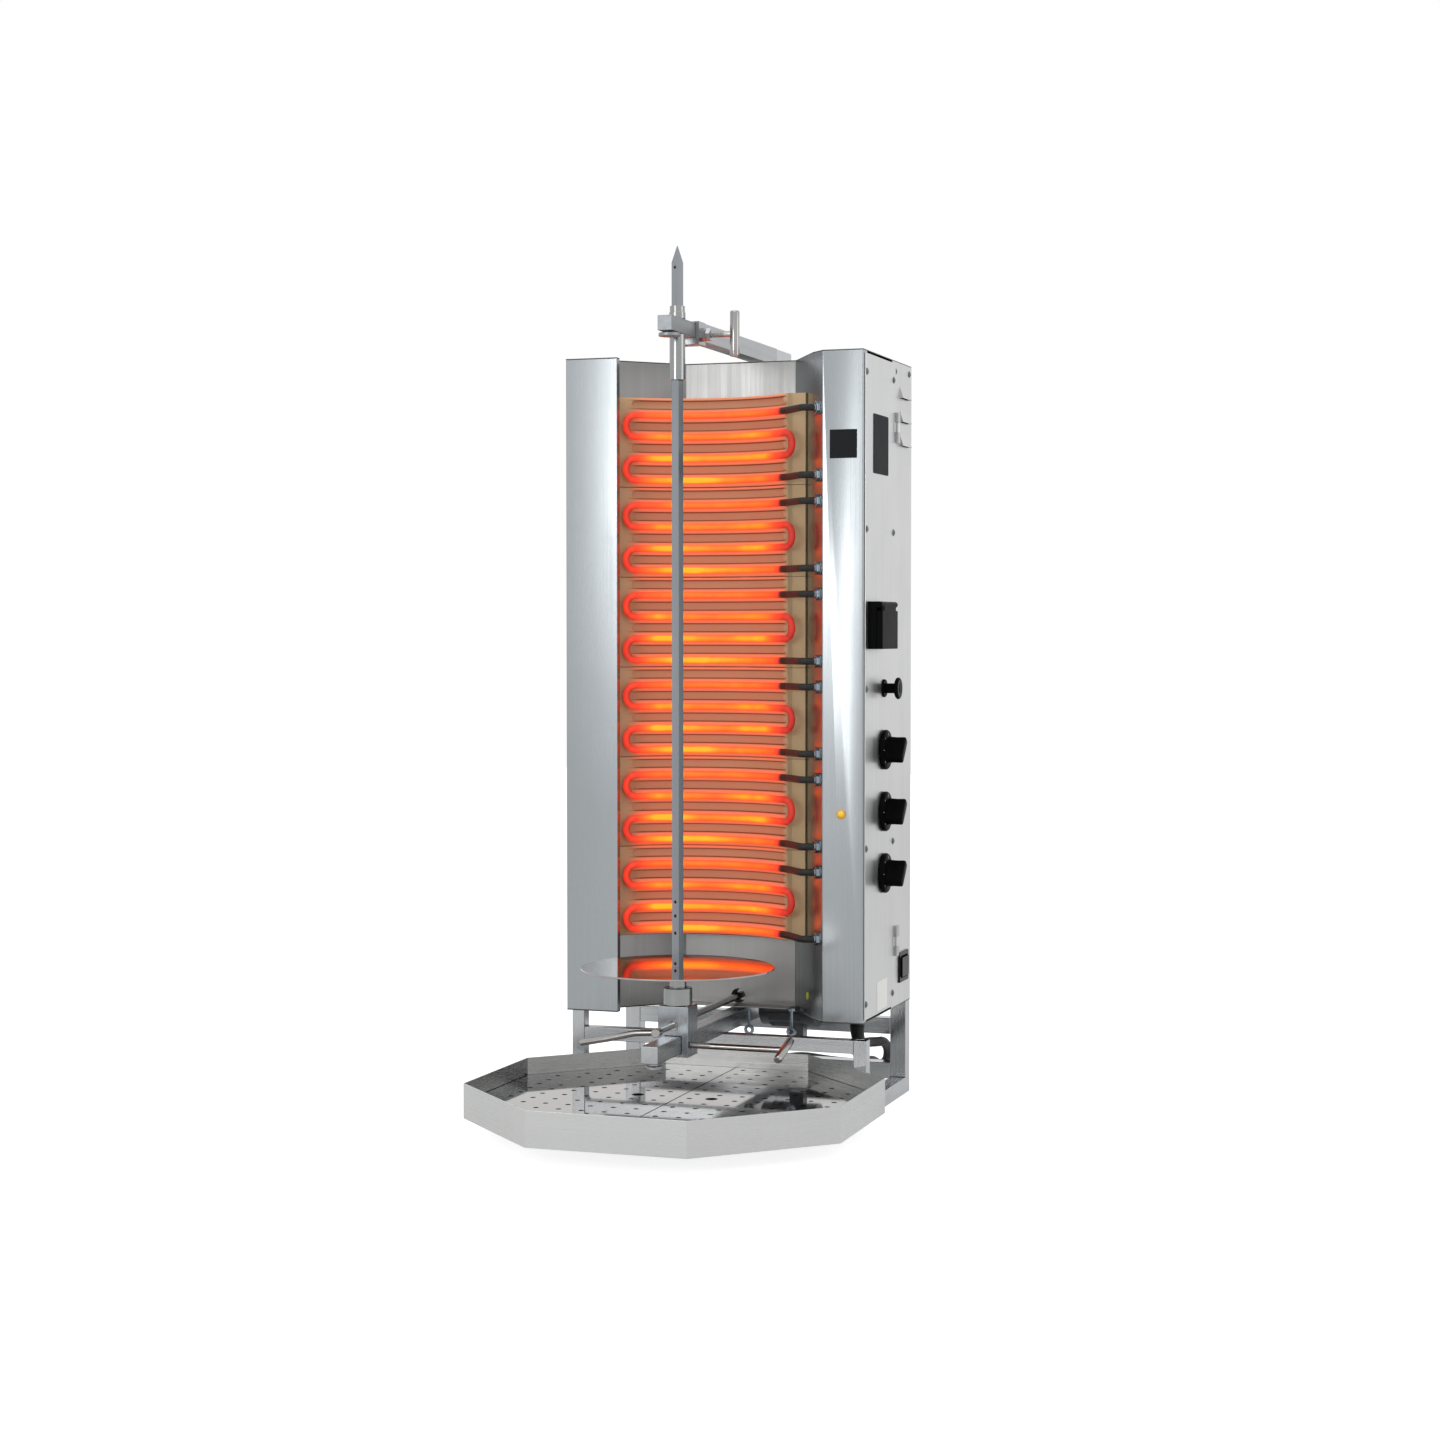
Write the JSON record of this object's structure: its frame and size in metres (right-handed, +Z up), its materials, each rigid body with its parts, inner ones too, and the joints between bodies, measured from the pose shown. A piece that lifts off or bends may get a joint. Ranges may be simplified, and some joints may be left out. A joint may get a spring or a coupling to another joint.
{
  "type": "electric vertical rotisserie grill",
  "caption": "Upright electric rotisserie grill: curved wall of glowing tube elements behind a driven square skewer, side control box and octagonal drip tray.",
  "frame": {"origin": "on the ground under the middle of the machine's outer box, mains lead left out", "axes": "+X to the machine's right as seen from the front (control box side), -Y to the front where the drip tray stands out, +Z up"},
  "size_m": [0.562, 0.943, 1.2735],
  "materials": {
    "frame_steel": "brushed square tube",
    "casing_steel": "brushed sheet",
    "liner_steel": "satin sheet",
    "cap_trim": "dark shadowed sheet edge",
    "hinge_steel": "satin",
    "ceramic": "rough fired clay",
    "hot_element": "glowing tube",
    "zinc_hardware": "zinc plated",
    "block_steel": "machined",
    "skewer_steel": "drawn and polished",
    "disc_steel": "polished",
    "handle_steel": "polished bar",
    "gear_housing": "cast housing",
    "motor_paint": "dark enamel",
    "tray_steel": "brushed sheet",
    "mirror_steel": "polished perforated sheet",
    "black_plastic": "moulded",
    "switch_plastic": "moulded",
    "lamp_lens": "amber lens",
    "gland_plastic": "moulded",
    "cord_rubber": "matt rubber"
  },
  "bodies": {
    "frame": {"base_rails": "frame_steel", "frame_posts": "frame_steel", "cross_tubes": "frame_steel", "left_wing": "casing_steel", "cavity_liner": "liner_steel", "control_box": "casing_steel", "side_panel_rear": "casing_steel", "door_hinges": "hinge_steel", "back_panel": "casing_steel", "top_cap": "cap_trim", "bottom_plate": "casing_steel", "ceramic_plate_1": "ceramic", "ceramic_plate_2": "ceramic", "ceramic_plate_3": "ceramic", "ceramic_plate_4": "ceramic", "ceramic_plate_5": "ceramic", "ceramic_plate_6": "ceramic", "heater_1": "hot_element", "heater_2": "hot_element", "heater_3": "hot_element", "heater_4": "hot_element", "heater_5": "hot_element", "heater_6": "hot_element", "terminal_nuts": "zinc_hardware", "lower_arm": "frame_steel", "mast": "frame_steel", "upper_arm": "frame_steel", "gearbox": "gear_housing", "motor": "motor_paint", "hanger_bolts": "zinc_hardware", "switch_bezel": "black_plastic", "indicator_lamp": "lamp_lens", "cord_gland": "gland_plastic", "mains_cord": "cord_rubber", "cord_coil": "cord_rubber", "mains_plug": "cord_rubber"},
    "carriage": {"gear_block": "block_steel", "lower_bearing": "block_steel"},
    "socket": {"skewer_socket": "skewer_steel"},
    "skewer": {"skewer": "skewer_steel"},
    "disc": {"meat_disc": "disc_steel"},
    "drive": {"drive_shaft": "skewer_steel"},
    "quill": {"output_quill": "skewer_steel"},
    "clutch": {"clutch_lever": "handle_steel"},
    "lower_clamp": {"lower_clamp_screw": "handle_steel"},
    "upper_holder": {"bearing_bar": "block_steel"},
    "sleeve": {"upper_sleeve": "skewer_steel"},
    "upper_clamp": {"upper_clamp_screw": "handle_steel"},
    "tray": {"tray": "tray_steel"},
    "plate_left": {"perforated_plate_left": "mirror_steel"},
    "plate_right": {"perforated_plate_right": "mirror_steel"},
    "door": {"service_door": "casing_steel", "regulators": "black_plastic", "socket_box": "black_plastic"},
    "knob_a": {"knob_1": "black_plastic"},
    "knob_b": {"knob_2": "black_plastic"},
    "knob_c": {"knob_3": "black_plastic"},
    "push_knob": {"mushroom_knob": "black_plastic"},
    "lid": {"socket_lid": "black_plastic"},
    "rocker": {"rocker_switch": "switch_plastic"}
  },
  "joints": [
    {"name": "carriage_slide", "type": "slide", "parent": "frame", "child": "carriage", "axis": [0, 1, 0], "range_m": [-0.04, 0.035]},
    {"name": "skewer_spin", "type": "hinge", "parent": "carriage", "child": "socket", "pos_m": [0, -0.1135, 0.16], "axis": [0, 0, 1], "continuous": true},
    {"name": "skewer_lift", "type": "slide", "parent": "socket", "child": "skewer", "axis": [0, 0, 1], "range_m": [0, 0.028]},
    {"name": "disc_slide", "type": "slide", "parent": "skewer", "child": "disc", "axis": [0, 0, 1], "range_m": [0, 0.095]},
    {"name": "drive_shaft_spin", "type": "hinge", "parent": "carriage", "child": "drive", "pos_m": [0, -0.1135, 0.16], "axis": [0, 1, 0], "continuous": true},
    {"name": "quill_spin", "type": "hinge", "parent": "frame", "child": "quill", "pos_m": [0, 0.21, 0.16], "axis": [0, 1, 0], "continuous": true},
    {"name": "upper_holder_slide", "type": "slide", "parent": "frame", "child": "upper_holder", "axis": [0, 1, 0], "range_m": [-0.04, 0.035]},
    {"name": "sleeve_spin", "type": "hinge", "parent": "upper_holder", "child": "sleeve", "pos_m": [0, -0.1135, 1.15], "axis": [0, 0, 1], "continuous": true},
    {"name": "clutch_lever_turn", "type": "hinge", "parent": "carriage", "child": "clutch", "pos_m": [0, -0.1635, 0.157], "axis": [0, 1, 0], "range_deg": [-20, 40]},
    {"name": "lower_clamp_turn", "type": "hinge", "parent": "carriage", "child": "lower_clamp", "pos_m": [0.02, -0.1215, 0.1285], "axis": [1, 0, 0], "range_deg": [0, 270]},
    {"name": "upper_clamp_turn", "type": "hinge", "parent": "frame", "child": "upper_clamp", "pos_m": [0.02, -0.0505, 1.153], "axis": [1, 0, 0], "range_deg": [0, 270]},
    {"name": "tray_slide", "type": "slide", "parent": "frame", "child": "tray", "axis": [0, -1, 0], "range_m": [0, 0.3]},
    {"name": "plate_left_lift", "type": "slide", "parent": "tray", "child": "plate_left", "axis": [0, 0, 1], "range_m": [0, 0.04]},
    {"name": "plate_right_lift", "type": "slide", "parent": "tray", "child": "plate_right", "axis": [0, 0, 1], "range_m": [0, 0.04]},
    {"name": "door_swing", "type": "hinge", "parent": "frame", "child": "door", "pos_m": [0.2389, 0.2175, 0.6], "axis": [0, 0, 1], "range_deg": [0, 100]},
    {"name": "knob_1_turn", "type": "hinge", "parent": "door", "child": "knob_a", "pos_m": [0.2359, 0.1485, 0.359], "axis": [1, 0, 0], "range_deg": [0, 270]},
    {"name": "knob_2_turn", "type": "hinge", "parent": "door", "child": "knob_b", "pos_m": [0.2359, 0.1485, 0.452], "axis": [1, 0, 0], "range_deg": [0, 270]},
    {"name": "knob_3_turn", "type": "hinge", "parent": "door", "child": "knob_c", "pos_m": [0.2359, 0.1485, 0.545], "axis": [1, 0, 0], "range_deg": [0, 270]},
    {"name": "push_knob_press", "type": "slide", "parent": "door", "child": "push_knob", "axis": [-1, 0, 0], "range_m": [0, 0.006]},
    {"name": "socket_lid_lift", "type": "hinge", "parent": "door", "child": "lid", "pos_m": [0.2538, 0.1015, 0.7625], "axis": [0, -1, 0], "range_deg": [0, 110]},
    {"name": "rocker_tilt", "type": "hinge", "parent": "frame", "child": "rocker", "pos_m": [0.23, 0.2725, 0.203], "axis": [0, 1, 0], "range_deg": [-8, 8]}
  ],
  "couplings": [
    {"joint": "drive_shaft_spin", "follows": "skewer_spin", "ratio": -1},
    {"joint": "quill_spin", "follows": "skewer_spin", "ratio": -1},
    {"joint": "sleeve_spin", "follows": "skewer_spin", "ratio": 1},
    {"joint": "upper_holder_slide", "follows": "carriage_slide", "ratio": 1}
  ]
}
